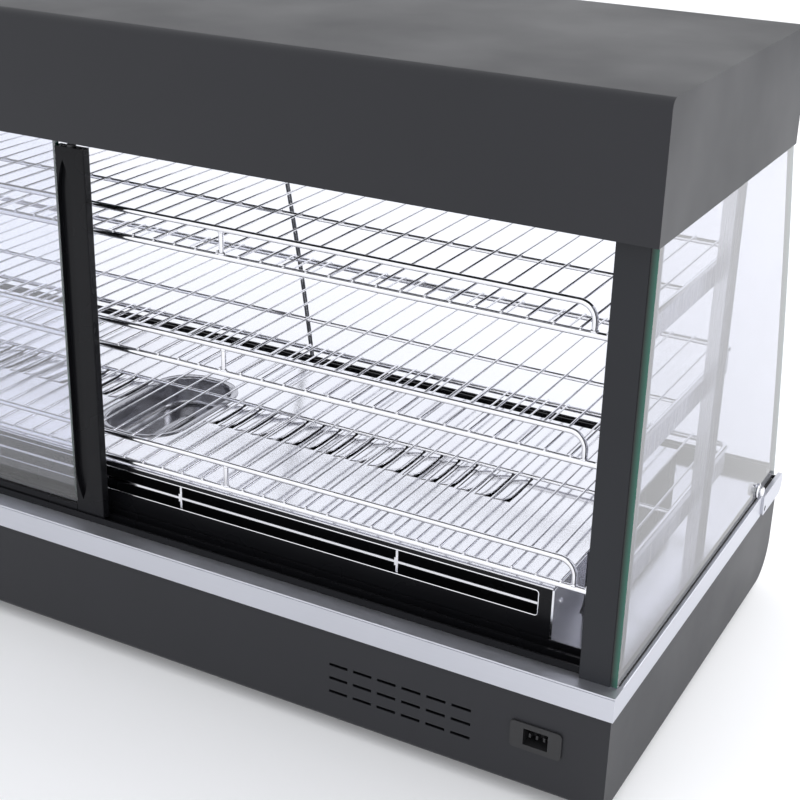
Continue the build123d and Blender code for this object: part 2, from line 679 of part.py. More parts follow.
# ---------------------------------------------------------------- canopy and lamps
def canopy_shell():
    """Black canopy, open below, with a stepped customer edge that the glass closes against."""
    y0, lip_y, front_y, visor_z = -256.5, 128.0, 150.0, 568.0
    z0, z1 = CANOPY_BOTTOM, CANOPY_TOP
    outer_pts = [(y0, z0), (lip_y, z0), (lip_y, visor_z), (front_y, visor_z), (front_y, z1), (y0, z1)]
    outer = extrude_x(outer_pts, -CANOPY_HALF_X, CANOPY_HALF_X)
    outer = round_x_edges(outer, [(front_y, z1, 40), (y0, z1, 8)])
    t = SHEET
    inner_pts = [
        (y0 + t, z0 - 5), (lip_y - t, z0 - 5), (lip_y - t, visor_z + t), (front_y - t, visor_z + t),
        (front_y - t, z1 - t), (y0 + t, z1 - t),
    ]
    inner = extrude_x(inner_pts, -CANOPY_HALF_X + t, CANOPY_HALF_X - t)
    inner = round_x_edges(inner, [(front_y - t, z1 - t, 40 - t), (y0 + t, z1 - t, 8 - t)])
    return outer - inner


def canopy_ceiling():
    """Bright ceiling sheet above the food space."""
    return slab((-607, 607), (-254, 125.5), (UPRIGHT_TOP, UPRIGHT_TOP + DECK_T))


def heat_lamps():
    """Two tubular lamps under the ceiling."""
    return group([rod_x(y, 557, 6, -520, 520) for y in (-90, 30)])


def lamp_holders():
    """A holder at each lamp end, fixed to the ceiling."""
    holders = []
    for y in (-90, 30):
        for side in (-1, 1):
            x = sorted_pair(side * 520, side * 542)
            block = slab(x, (y - 11, y + 11), (546, UPRIGHT_TOP))
            holders.append(fillet(block.edges().filter_by(Axis.X), 3))
    return group(holders)


# ---------------------------------------------------------------- controls
def control_plate():
    """Face plate at the back of the operator recess, with holes for the controls."""
    y = (BASE_Y_OPERATOR + RECESS_DEPTH - 2, BASE_Y_OPERATOR + RECESS_DEPTH)
    return control_holes(slab(grown(RECESS_X, -0.5), y, grown(RECESS_Z, -0.5)))


def thermostat_dial():
    """Round control knob with a grip bar and its spindle."""
    face = BASE_Y_OPERATOR + RECESS_DEPTH - 2
    skirt = rod_y(DIAL_X, CONTROL_Z, 20, face - 5, face - 0.4)
    grip = rod_y(DIAL_X, CONTROL_Z, 15, face - 15, face - 5)
    grip = fillet(grip.edges().group_by(Axis.Y)[0], 2)
    cut = slab((0, 11), (face - 16, face - 8), (CONTROL_Z - 20, CONTROL_Z + 20))
    grip -= Pos(DIAL_X + 5, 0, 0) * cut
    grip -= Pos(DIAL_X - 16, 0, 0) * cut
    spindle = rod_y(DIAL_X, CONTROL_Z, 3, face - 0.4, face + 24)
    return skirt + grip + spindle


def rocker(x):
    """Rocker switch paddle: a lens-shaped block that tips about its middle."""
    face = BASE_Y_OPERATOR + RECESS_DEPTH - 2
    low, high = CONTROL_Z - 12.0, CONTROL_Z + 12.0
    front = face - 3.2
    top = ThreePointArc((front, low), (face - 1.6, CONTROL_Z), (front, high))
    back = Polyline((front, high), (face + 4, CONTROL_Z + 4), (face + 4, CONTROL_Z - 4), (front, low))
    outline = make_face([top, *back.edges()])
    return extrude(Plane.YZ.offset(x - 8) * outline, amount=16)


def switch_frames():
    """Snap-in bezels round the two rockers, with the readout and pilot lamp bodies."""
    face = BASE_Y_OPERATOR + RECESS_DEPTH - 2
    pieces = []
    for x in (POWER_X, LIGHT_X):
        bezel = slab((x - 12.5, x + 12.5), (face - 1.5, face), (CONTROL_Z - 17, CONTROL_Z + 17))
        bezel += slab((x - 10.5, x + 10.5), (face, face + 16), (CONTROL_Z - 14.5, CONTROL_Z + 14.5))
        bezel -= slab((x - 8.6, x + 8.6), (face - 5, face + 9), (CONTROL_Z - 13.2, CONTROL_Z + 13.2))
        pieces.append(bezel)
    return group(pieces)


def readout():
    """Temperature readout window."""
    face = BASE_Y_OPERATOR + RECESS_DEPTH - 2
    window = readout_block(0, face - 2, face, 11)
    body = readout_block(2, face, face + 18, 9)
    return fillet(window.edges().filter_by(Axis.Y), 2) + body


def pilot_lamp():
    """Heating pilot lamp."""
    face = BASE_Y_OPERATOR + RECESS_DEPTH - 2
    lens = rod_y(PILOT_X, CONTROL_Z, 6, face - 3, face)
    lens = fillet(lens.edges().group_by(Axis.Y)[0], 1.5)
    return lens + rod_y(PILOT_X, CONTROL_Z, 4.5, face, face + 14)


def mains_inlet():
    """Flanged mains inlet socket with three contact pins."""
    x, z = INLET_X, 70.0
    face = BASE_Y_OPERATOR
    flange = slab((x - 25, x + 25), (face - 2, face), (z - 14, z + 14))
    flange = fillet(flange.edges().filter_by(Axis.Y), 4)
    body = slab((x - 14.5, x + 14.5), (face, face + 20), (z - 11.5, z + 11.5))
    socket = slab((x - 12, x + 12), (face - 3, face + 15), (z - 8.5, z + 8.5))
    inlet = flange + body - socket
    for dx in (-7, 0, 7):
        inlet += slab((x + dx - 1, x + dx + 1), (face + 2, face + 16), (z - 2, z + 2))
    return inlet


# ---------------------------------------------------------------- assembly
def add(name, shape):
    nodes[name] = shape


def add_pair(name, shape):
    """One piece at the right-hand end and its mirror image at the left."""
    add(name + "_right", shape)
    add(name + "_left", other_side(shape))


def build_all():
    add("base_tub", base_tub())
    add("control_tray", control_tray())
    add("base_ends", group([base_end(), other_side(base_end())]))
    add("base_deck", base_deck())
    add("rubber_feet", rubber_feet())
    add("trim_operator", trim_operator())
    add_pair("trim", trim_side())
    add("trim_customer", trim_customer())
    add_pair("corner_bracket", corner_bracket())
    add("glass_knobs", group([glass_knob(), other_side(glass_knob())]))
    add("small_screws", small_screws())
    add("door_track_lower", door_track_lower())
    add("door_track_upper", door_track_upper())
    add_pair("post", corner_post())
    add_pair("side_glass", side_glass())
    add("side_seals", side_seals())
    add_pair("customer_pane", customer_pane())
    add("customer_joint", customer_joint())
    add("customer_rail", customer_rail())
    add("canopy_shell", canopy_shell())
    add("canopy_ceiling", canopy_ceiling())
    add("heat_lamps", heat_lamps())
    add("lamp_holders", lamp_holders())
    add_pair("upright_rear", upright(UPRIGHT_REAR_Y))
    front = upright(UPRIGHT_FRONT_Y)
    add("uprights_front", group([front, other_side(front)]))
    for level in SHELVES:
        add("shelf_arms_" + level, shelf_arms(level))
        add("shelf_" + level, shelf_grid(level))
        add("guard_rail_" + level, guard_rail(level))
    add("deck_plate", deck_plate())
    add("heater_box", heater_box())
    add("slot_bar", slot_bar())
    add("heater_end_plates", heater_end_plates())
    add("heating_elements", heating_elements())
    add("water_pan", water_pan())
    doors = {"right": (RIGHT_DOOR_X, DOOR_OUTER_Y, True), "left": (LEFT_DOOR_X, DOOR_INNER_Y, False)}
    for side, spec in doors.items():
        add("door_frame_" + side, door_frame(*spec))
        add("door_glass_" + side, door_glass_body(*spec))
        add("door_guides_" + side, door_guides(*spec))
    add("control_plate", control_plate())
    add("thermostat_dial", thermostat_dial())
    add("power_rocker", rocker(POWER_X))
    add("light_rocker", rocker(LIGHT_X))
    add("switch_frames", switch_frames())
    add("readout", readout())
    add("pilot_lamp", pilot_lamp())
    add("mains_inlet", mains_inlet())


build_all()
os.makedirs("parts", exist_ok=True)
for node_name, node_shape in nodes.items():
    export_step(node_shape, os.path.join("parts", node_name + ".step"))
    print(node_name, "solids", len(node_shape.solids()))
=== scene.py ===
# %% [markdown]
# # A heated countertop display case
# The real object is a glazed box on a heated base: sliding doors at the back, three wire shelves,
# a curved glass towards the customer and a black canopy.  Its frame, panels and glass are flat or
# simply bent sheets, so their shapes come ready from the CAD frame.  What makes such a case look
# real is thin bright wire, pressed louvres, a drawn steel pan and honest surfaces, so those are
# made here.

# %% Load the fixed frame
import math

import bmesh
import bpy
import numpy as np
from mathutils import Matrix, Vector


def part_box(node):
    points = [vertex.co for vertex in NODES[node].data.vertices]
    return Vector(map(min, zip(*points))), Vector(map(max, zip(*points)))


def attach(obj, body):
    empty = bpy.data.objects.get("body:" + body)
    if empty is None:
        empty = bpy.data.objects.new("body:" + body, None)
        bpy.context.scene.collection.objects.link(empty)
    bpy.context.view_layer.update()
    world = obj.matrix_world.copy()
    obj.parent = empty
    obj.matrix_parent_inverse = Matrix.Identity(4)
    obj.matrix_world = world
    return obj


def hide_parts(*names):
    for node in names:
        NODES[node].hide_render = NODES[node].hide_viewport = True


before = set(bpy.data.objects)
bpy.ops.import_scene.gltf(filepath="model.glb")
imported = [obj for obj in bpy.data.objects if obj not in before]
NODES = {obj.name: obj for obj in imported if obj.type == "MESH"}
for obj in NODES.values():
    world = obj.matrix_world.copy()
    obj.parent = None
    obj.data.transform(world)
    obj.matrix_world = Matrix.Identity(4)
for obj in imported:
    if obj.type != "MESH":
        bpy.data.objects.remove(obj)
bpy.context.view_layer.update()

# %% [markdown]
# ## Camera
# The case is looked at from the door side, a little from the right and from above.  A camera can be
# aimed at a target with a constraint, or given by its two view angles.  The angles are used here,
# because they keep the slight tilt of a hand-held view.  The three axes of the camera are worked out
# from them and become the columns of its matrix.

# %% Place the camera
AZIMUTH = math.radians(27.87)
ELEVATION = math.radians(23.41)
TILT = math.radians(1.62)

CAMERA_PLACE = (0.9547, -1.3182, 0.8961)
LENS_MM, SENSOR_MM = 68.97, 36.0
SHIFT_UP = -0.012
NEAREST = 0.05

forward = np.array([
    -math.sin(AZIMUTH) * math.cos(ELEVATION),
    math.cos(AZIMUTH) * math.cos(ELEVATION),
    -math.sin(ELEVATION),
])
level_right = np.array([math.cos(AZIMUTH), math.sin(AZIMUTH), 0.0])
level_up = np.cross(level_right, forward)
camera_right = level_right * math.cos(TILT) + level_up * math.sin(TILT)
camera_up = level_up * math.cos(TILT) - level_right * math.sin(TILT)

camera = bpy.data.objects.new("case_camera", bpy.data.cameras.new("case_camera"))
bpy.context.scene.collection.objects.link(camera)
placing = Matrix.Identity(4)
for column, axis in enumerate((camera_right, camera_up, -forward, CAMERA_PLACE)):
    for row in range(3):
        placing[row][column] = axis[row]
camera.matrix_world = placing
camera.data.lens = LENS_MM
camera.data.sensor_width = SENSOR_MM
camera.data.shift_y = SHIFT_UP
camera.data.clip_start = NEAREST
bpy.context.scene.camera = camera
print("camera looks along", np.round(forward, 3))

# %% [markdown]
# ## Studio
# Chrome and glass show what stands around them more than they show themselves.  A bright even sky
# keeps the steel light.  A pale floor, which glows a little, carries that brightness below the case.
# One broad soft light stands behind the right end and gives the side wall its sheen.  Two black
# cloths, which only mirrors see, put dark lines into the polished wire.

# %% Sky, floor, soft light and black cloths
scene = bpy.context.scene
scene.view_settings.view_transform = "Standard"
scene.world = bpy.data.worlds.new("studio_sky")
scene.world.use_nodes = True
sky = scene.world.node_tree.nodes["Background"]
SKY_COLOUR = (0.97, 0.98, 1.0, 1.0)
SKY_STRENGTH = 1.25
sky.inputs["Color"].default_value = SKY_COLOUR
sky.inputs["Strength"].default_value = SKY_STRENGTH


def soft_light(name, place, target, size, power):
    """Square area light at `place`, turned so that its own -Z axis points to `target`.  Its side axis
    is level: vertical x back, made one unit long."""
    lamp = bpy.data.objects.new(name, bpy.data.lights.new(name, "AREA"))
    lamp.data.size = size
    lamp.data.energy = power
    scene.collection.objects.link(lamp)
    direction = target - np.array(place)
    back = -direction / np.linalg.norm(direction)
    side = np.cross([0.0, 0.0, 1.0], back)
    side /= np.linalg.norm(side)
    turned = Matrix.Identity(4)
    for column, vector in enumerate((side, np.cross(back, side), back, place)):
        for row in range(3):
            turned[row][column] = vector[row]
    lamp.matrix_world = turned


SOFTBOX_PLACE = (2.3, 2.0, 1.9)
RIGHT_END = np.array([0.6, 0.2, 0.6])
SOFTBOX_SIZE, SOFTBOX_WATTS = 2.0, 44.0
soft_light("right_softbox", SOFTBOX_PLACE, RIGHT_END, SOFTBOX_SIZE, SOFTBOX_WATTS)

FLOOR_HALF = 9.0
PAPER_GLOW = 0.09
floor_mesh = bpy.data.meshes.new("studio_floor")
corners = FLOOR_HALF * np.array([(-1, -1, 0), (1, -1, 0), (1, 1, 0), (-1, 1, 0)], float)
floor_mesh.from_pydata(corners.tolist(), [], [(0, 1, 2, 3)])
floor = bpy.data.objects.new("studio_floor", floor_mesh)
scene.collection.objects.link(floor)
paper = bpy.data.materials.new("studio_paper")
paper.use_nodes = True
paper_shader = paper.node_tree.nodes["Principled BSDF"]
paper_shader.inputs["Base Color"].default_value = (0.85, 0.85, 0.86, 1.0)
paper_shader.inputs["Roughness"].default_value = 0.9
paper_shader.inputs["Specular IOR Level"].default_value = 0.1
paper_shader.inputs["Emission Color"].default_value = SKY_COLOUR
paper_shader.inputs["Emission Strength"].default_value = PAPER_GLOW
floor_mesh.materials.append(paper)

night = bpy.data.materials.new("flag_cloth")
night.use_nodes = True
cloth = night.node_tree.nodes["Principled BSDF"].inputs
cloth["Base Color"].default_value = (0.004, 0.004, 0.004, 1.0)
cloth["Roughness"].default_value = 1.0
cloth["Specular IOR Level"].default_value = 0.0


def dark_flag(name, corners):
    """A black cloth that only mirrors see.  It puts the dark lines into polished wire."""
    mesh = bpy.data.meshes.new(name)
    mesh.from_pydata(corners, [], [(0, 1, 2, 3)])
    mesh.materials.append(night)
    flag = bpy.data.objects.new(name, mesh)
    scene.collection.objects.link(flag)
    for ray in ("camera", "diffuse", "transmission", "shadow", "volume_scatter"):
        setattr(flag, "visible_" + ray, False)


dark_flag("right_flag", [(0.7, 1.8, 0.5), (2.5, 1.8, 0.5), (2.5, 1.8, 2.5), (0.7, 1.8, 2.5)])
dark_flag("front_flag", [(-3.0, 0.45, 1.3), (1.0, 0.45, 1.3), (1.0, 0.9, 1.3), (-3.0, 0.9, 1.3)])

# %% [markdown]
# ## Surfaces from grids
# Every new piece is a grid of points: rows run along it and columns run round it.  Four neighbours
# make one face.  A whole stack of grids can go into one mesh, which is how hundreds of equal wires
# stay cheap.  Rows that shrink to one point leave flat faces with no area, so equal points are merged.

# %% Grids to meshes
SAME_POINT = 2e-6       # points closer than this are merged


def grid_faces(rows, columns, wrap_rows, wrap_columns):
    """Corner numbers of each face: a point, its neighbour round, the one diagonal to it, and the
    neighbour along."""
    along = np.arange(rows if wrap_rows else rows - 1)
    around = np.arange(columns if wrap_columns else columns - 1)
    along, around = np.meshgrid(along, around, indexing="ij")
    next_row = (along + 1) % rows
    next_column = (around + 1) % columns
    corners = [along * columns + around, along * columns + next_column,
               next_row * columns + next_column, next_row * columns + around]
    return np.stack(corners, -1).reshape(-1, 4)


def add_piece(name, grids, finish, body="case", wrap_rows=False, wrap_columns=True, wall=0.0):
    """One object from a grid or a stack of grids.  With a wall, the surface is thickened to a sheet."""
    grids = np.asarray(grids, float)
    if grids.ndim == 3:
        grids = grids[None]
    count, rows, columns = grids.shape[:3]
    faces = grid_faces(rows, columns, wrap_rows, wrap_columns)
    faces = (faces[None] + (np.arange(count) * rows * columns)[:, None, None]).reshape(-1, 4)
    mesh = bpy.data.meshes.new(name)
    mesh.from_pydata(grids.reshape(-1, 3).tolist(), [], faces.tolist())
    merging = bmesh.new()
    merging.from_mesh(mesh)
    bmesh.ops.remove_doubles(merging, verts=merging.verts, dist=SAME_POINT)
    merging.to_mesh(mesh)
    merging.free()
    mesh.shade_smooth()
    mesh.materials.append(finish)
    piece = bpy.data.objects.new(name, mesh)
    scene.collection.objects.link(piece)
    if wall:
        sheet = piece.modifiers.new("sheet_wall", "SOLIDIFY")
        sheet.thickness = wall
        sheet.offset = -1.0
    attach(piece, body)
    return piece


print("a 4 by 6 tube has", len(grid_faces(4, 6, False, True)), "faces")

# %% [markdown]
# ## Rods and bent rods
# A rod is a circle carried along a path.  All paths here lie in a plane, so the plane's own normal
# serves as one side direction of the circle all the way, and the rod can't twist.

# %% Rod surfaces
DOME_ROW = np.array([0.0, 0.13, 0.5, 1.0])      # rows of a rounded rod end, in radii from its tip
DOME_SIZE = np.array([0.0, 0.5, 0.87, 1.0])     # radius of each of those rows, in rod radii


def bent_route(corners, bend, steps=10, closed=False):
    """Points of a route with round corners.  At each corner the arc starts bend*tan(turn/2) before it,
    and runs start + u*bend*sin(a) + w*bend*(1 - cos(a)), where u is the way in and w points to the inside."""
    corners = np.asarray(corners, float)
    if closed:
        before, here, after = np.roll(corners, 1, 0), corners, np.roll(corners, -1, 0)
    else:
        before, here, after = corners[:-2], corners[1:-1], corners[2:]
    u = (here - before) / np.linalg.norm(here - before, axis=1, keepdims=True)
    v = (after - here) / np.linalg.norm(after - here, axis=1, keepdims=True)
    cosine = np.sum(u * v, 1, keepdims=True)
    turn = np.arccos(np.clip(cosine, -1, 1))
    w = (v - u * cosine) / np.sin(turn)
    start = here - u * bend * np.tan(turn / 2)
    a = turn[:, None] * np.linspace(0, 1, steps)[None, :, None]
    arcs = start[:, None] + u[:, None] * bend * np.sin(a) + w[:, None] * bend * (1 - np.cos(a))
    route = arcs.reshape(-1, 3)
    return route if closed else np.vstack([corners[:1], route, corners[-1:]])


def rod_grid(route, radius, plane_normal, sides=14, closed=False):
    """Circle of `radius` carried along a flat route: point + radius*(cos(a)*n + sin(a)*b), with b the
    plane's normal and n = b x tangent.  The two ends of an open rod are rounded to a point."""
    route = np.asarray(route, float)
    if closed:
        tangent = np.roll(route, -1, 0) - np.roll(route, 1, 0)
    else:
        tangent = np.gradient(route, axis=0)
    tangent /= np.linalg.norm(tangent, axis=1, keepdims=True)
    size = np.full(len(route), radius)
    if not closed:
        start = route[0] + tangent[0] * radius * DOME_ROW[:, None]
        end = route[-1] - tangent[-1] * radius * DOME_ROW[::-1, None]
        route = np.vstack([start, route[1:-1], end])
        tangent = np.repeat(tangent, [4] + [1] * (len(tangent) - 2) + [4], axis=0)
        size = np.concatenate([radius * DOME_SIZE, size[1:-1], radius * DOME_SIZE[::-1]])
    b = np.asarray(plane_normal, float)[None]
    n = np.cross(b, tangent)
    a = np.linspace(0, 2 * np.pi, sides, endpoint=False)[None, :, None]
    return route[:, None] + size[:, None, None] * (np.cos(a) * n[:, None] + np.sin(a) * b[:, None])


def straight_rods(starts, direction, length, radius, sides=10):
    """Equal straight rods, one from each start.  Rows stand at the share `s` of the length and have the
    radius of a small dome at both ends."""
    starts = np.asarray(starts, float)
    direction = np.asarray(direction, float)
    across = np.array([0.0, 0.0, 1.0]) if abs(direction[2]) < 0.5 else np.array([1.0, 0.0, 0.0])
    b = np.cross(direction, across)
    a = np.linspace(0, 2 * np.pi, sides, endpoint=False)
    ring = np.cos(a)[:, None] * across + np.sin(a)[:, None] * b
    s = np.concatenate([radius * DOME_ROW, length - radius * DOME_ROW[::-1]])
    size = radius * np.concatenate([DOME_SIZE, DOME_SIZE[::-1]])
    rod = s[:, None, None] * direction + size[:, None, None] * ring
    return starts[:, None, None] + rod[None]


def beads(centres, radii, rows=6, sides=8):
    """Small ellipsoids: centre + radii * (sin(t)cos(a), sin(t)sin(a), -cos(t)), one per centre."""
    t = np.linspace(0, np.pi, rows)[:, None]
    a = np.linspace(0, 2 * np.pi, sides, endpoint=False)[None]
    unit = np.stack([np.sin(t) * np.cos(a), np.sin(t) * np.sin(a), -np.cos(t) + 0 * a], -1)
    return np.asarray(centres, float)[:, None, None] + unit[None] * np.asarray(radii)


print("one bent rod has", rod_grid(bent_route([(0, 0, 0), (0, 0, 1), (1, 0, 1)], 0.1), 0.01, (0, 1, 0)).shape)

# %% [markdown]
# ## Finishes
# A finish is a shader whose colour, roughness and bump come from noise in object coordinates, in
# metres, so a grain of half a millimetre has a scale of about two thousand.  Values that are the same
# all over a surface are typed into the shader itself.  The small class below only saves typing.

# %% A helper for node finishes
class Finish:
    """A material with its shader, and one method for each kind of node that the case needs."""

    def __init__(self, name, **shader_values):
        self.material = bpy.data.materials.new(name)
        self.material.use_nodes = True
        self.tree = self.material.node_tree
        self.shader = self.tree.nodes["Principled BSDF"]
        self.coordinates = self.node("ShaderNodeTexCoord")
        for key, value in shader_values.items():
            self.shader.inputs[key.replace("_", " ")].default_value = value

    def node(self, kind, **settings):
        made = self.tree.nodes.new(kind)
        for key, value in settings.items():
            setattr(made, key, value)
        return made

    def link(self, output, target):
        self.tree.links.new(output, target)
        return self

    def noise(self, scale, detail=3.0, stretch=(1, 1, 1)):
        """Noise from 0 to 1; a large stretch along an axis makes it change faster that way."""
        mapping = self.node("ShaderNodeMapping")
        mapping.inputs["Scale"].default_value = stretch
        self.link(self.coordinates.outputs["Object"], mapping.inputs["Vector"])
        texture = self.node("ShaderNodeTexNoise")
        texture.inputs["Scale"].default_value = scale
        texture.inputs["Detail"].default_value = detail
        self.link(mapping.outputs["Vector"], texture.inputs["Vector"])
        return texture.outputs["Fac"]

    def between(self, value, low, high, to_low, to_high):
        """Value from low..high stretched to to_low..to_high and held there outside it."""
        ranged = self.node("ShaderNodeMapRange")
        for key, number in zip(("From Min", "From Max", "To Min", "To Max"), (low, high, to_low, to_high)):
            ranged.inputs[key].default_value = number
        self.link(value, ranged.inputs["Value"])
        return ranged.outputs["Result"]

    def colours(self, value, first, second):
        """Blend of two colours by a value from 0 to 1, onto the base colour."""
        mix = self.node("ShaderNodeMix", data_type="RGBA")
        mix.inputs[6].default_value = (*first, 1.0)
        mix.inputs[7].default_value = (*second, 1.0)
        self.link(value, mix.inputs[0])
        self.link(mix.outputs[2], self.shader.inputs["Base Color"])
        return self

    def roughness(self, value, low, high):
        return self.link(self.between(value, 0.3, 0.7, low, high), self.shader.inputs["Roughness"])

    def bump(self, height, distance, strength=1.0):
        """Bump of the given height in metres."""
        bumped = self.node("ShaderNodeBump")
        bumped.inputs["Strength"].default_value = strength
        bumped.inputs["Distance"].default_value = distance
        self.link(height, bumped.inputs["Height"])
        return self.link(bumped.outputs["Normal"], self.shader.inputs["Normal"])

    def wear_on(self, nodes):
        """Gives this finish to CAD nodes."""
        for name in nodes:
            NODES[name].data.materials.clear()
            NODES[name].data.materials.append(self.material)
        return self


print("finishes can be made")

# %% [markdown]
# ## Powder coat and black metal
# The canopy and base are sheet steel with a satin black powder coat.  Seen close it has a fine
# orange peel, and its sheen drifts a little over a large panel.  The rails and door frames are
# smoother and glossier, and the inside of the canopy is plain dark sheet.

# %% Black finishes
powder_coat = Finish("powder_coat", Specular_IOR_Level=0.32)
powder_coat.colours(powder_coat.noise(3.0), (0.013, 0.0135, 0.0165), (0.019, 0.0195, 0.0235))
powder_coat.roughness(powder_coat.noise(7.0, 4.0), 0.40, 0.50)
powder_coat.bump(powder_coat.noise(1400.0, 2.0), 0.00004)
powder_coat.wear_on(["canopy_shell", "base_tub", "base_ends", "control_tray"])

post_coat = Finish("post_coat", Specular_IOR_Level=0.28)
post_coat.colours(post_coat.noise(9.0, 2.0, (1, 1, 0.3)), (0.012, 0.013, 0.016), (0.018, 0.0195, 0.0235))
post_coat.roughness(post_coat.noise(12.0), 0.42, 0.52)
post_coat.bump(post_coat.noise(1600.0, 2.0), 0.00003)
post_coat.wear_on(["post_right", "post_left"])

gloss_black = Finish("gloss_black", Specular_IOR_Level=0.15)
gloss_black.colours(gloss_black.noise(5.0), (0.0045, 0.0046, 0.0056), (0.0075, 0.0077, 0.0092))
gloss_black.roughness(gloss_black.noise(14.0), 0.22, 0.32)
gloss_black.bump(gloss_black.noise(900.0, 1.0), 0.00002)
gloss_black.wear_on(["door_frame_right", "door_frame_left", "customer_rail", "heater_box",
                     "door_track_lower", "door_track_upper"])

dark_sheet = Finish("dark_sheet", Specular_IOR_Level=0.4)
dark_sheet.colours(dark_sheet.noise(4.0), (0.010, 0.010, 0.011), (0.016, 0.016, 0.018))
dark_sheet.roughness(dark_sheet.noise(8.0), 0.5, 0.6)
dark_sheet.bump(dark_sheet.noise(1200.0), 0.00003)
dark_sheet.wear_on(["canopy_ceiling"])
print("black finishes:", powder_coat.material.name, gloss_black.material.name, dark_sheet.material.name)

# %% [markdown]
# ## Bright metals
# Brushed steel is a metal whose roughness and bump change fast across the brush direction and slowly
# along it.  The deck is nearly mirror bright, the uprights are duller, and the trim is satin
# aluminium.  The wire is chrome: a mirror with faint drawing marks and a few dull spots.

# %% Bright finishes
ALONG_X = (2.0, 260.0, 260.0)
ALONG_Z = (260.0, 260.0, 2.0)

deck_steel = Finish("deck_steel", Metallic=1.0)
deck_steel.colours(deck_steel.noise(6.0), (0.80, 0.80, 0.83), (0.88, 0.88, 0.91))
deck_steel.roughness(deck_steel.noise(9.0, 4.0, ALONG_X), 0.10, 0.17)
deck_steel.bump(deck_steel.noise(14.0, 2.0, ALONG_X), 0.00002)
deck_steel.wear_on(["deck_plate", "base_deck", "slot_bar", "heater_end_plates", "heating_elements"])

upright_steel = Finish("upright_steel", Metallic=1.0)
upright_steel.colours(upright_steel.noise(8.0), (0.46, 0.46, 0.50), (0.58, 0.58, 0.62))
upright_steel.roughness(upright_steel.noise(9.0, 4.0, ALONG_Z), 0.20, 0.30)
upright_steel.bump(upright_steel.noise(14.0, 2.0, ALONG_Z), 0.00002)
upright_steel.wear_on([n for n in NODES if n.startswith(("upright", "shelf_arms"))])

satin_trim = Finish("satin_trim", Metallic=1.0)
satin_trim.colours(satin_trim.noise(5.0), (0.56, 0.57, 0.62), (0.64, 0.65, 0.70))
satin_trim.roughness(satin_trim.noise(8.0, 3.0, ALONG_X), 0.40, 0.50)
satin_trim.bump(satin_trim.noise(12.0, 2.0, ALONG_X), 0.00002)
satin_trim.wear_on([n for n in NODES if n.startswith(("trim_", "corner_bracket"))])

chrome = Finish("chrome_wire", Metallic=1.0)
chrome.colours(chrome.noise(30.0), (0.80, 0.80, 0.83), (0.90, 0.90, 0.93))
chrome.roughness(chrome.noise(60.0, 4.0), 0.05, 0.12)
chrome.bump(chrome.noise(500.0, 2.0), 0.00001)
chrome.wear_on(["small_screws"])
print("bright finishes:", deck_steel.material.name, satin_trim.material.name, chrome.material.name)

# %% [markdown]
# ## Glass
# The panes are soda glass.  Seen through the face it is almost colourless, but a cut edge shows the
# iron in it as deep green, because the light there has come a long way through the pane.  The edge
# is told from the face by the direction of its normal.  Real glass has an index near 1.5.  The
# indices here are higher.  The end panes are tinted grey for a visible haze: painted shade, which darkens all
# seen through them.

# %% Glass finishes
def clear_face(glass, tint, bend):
    """Mirror of the pane over its clear body.  The share of mirror grows towards a flat view, as the
    Fresnel law for the refractive index `bend` says.  Only the side where a ray comes in mirrors: the
    body doesn't bend rays, so the far side would act like the inside of a prism."""
    body = glass.node("ShaderNodeBsdfTransparent")
    body.inputs["Color"].default_value = (*tint, 1.0)
    sheen = glass.node("ShaderNodeBsdfAnisotropic")
    sheen.inputs["Color"].default_value = (1.0, 1.0, 1.0, 1.0)
    glass.link(glass.between(glass.noise(5.0), 0.3, 0.7, 0.0, 0.03), sheen.inputs["Roughness"])
    ripple = glass.node("ShaderNodeBump")
    ripple.inputs["Distance"].default_value = 0.00001
    glass.link(glass.noise(9.0, 2.0), ripple.inputs["Height"])
    glass.link(ripple.outputs["Normal"], sheen.inputs["Normal"])
    share = glass.node("ShaderNodeFresnel")
    share.inputs["IOR"].default_value = bend
    face = glass.node("ShaderNodeMixShader")
    glass.link(share.outputs["Fac"], face.inputs["Fac"])
    glass.link(body.outputs["BSDF"], face.inputs[1])
    glass.link(sheen.outputs["BSDF"], face.inputs[2])
    far_side = glass.node("ShaderNodeMixShader")
    glass.link(glass.node("ShaderNodeNewGeometry").outputs["Backfacing"], far_side.inputs["Fac"])
    glass.link(face.outputs["Shader"], far_side.inputs[1])
    glass.link(body.outputs["BSDF"], far_side.inputs[2])
    return far_side.outputs["Shader"]


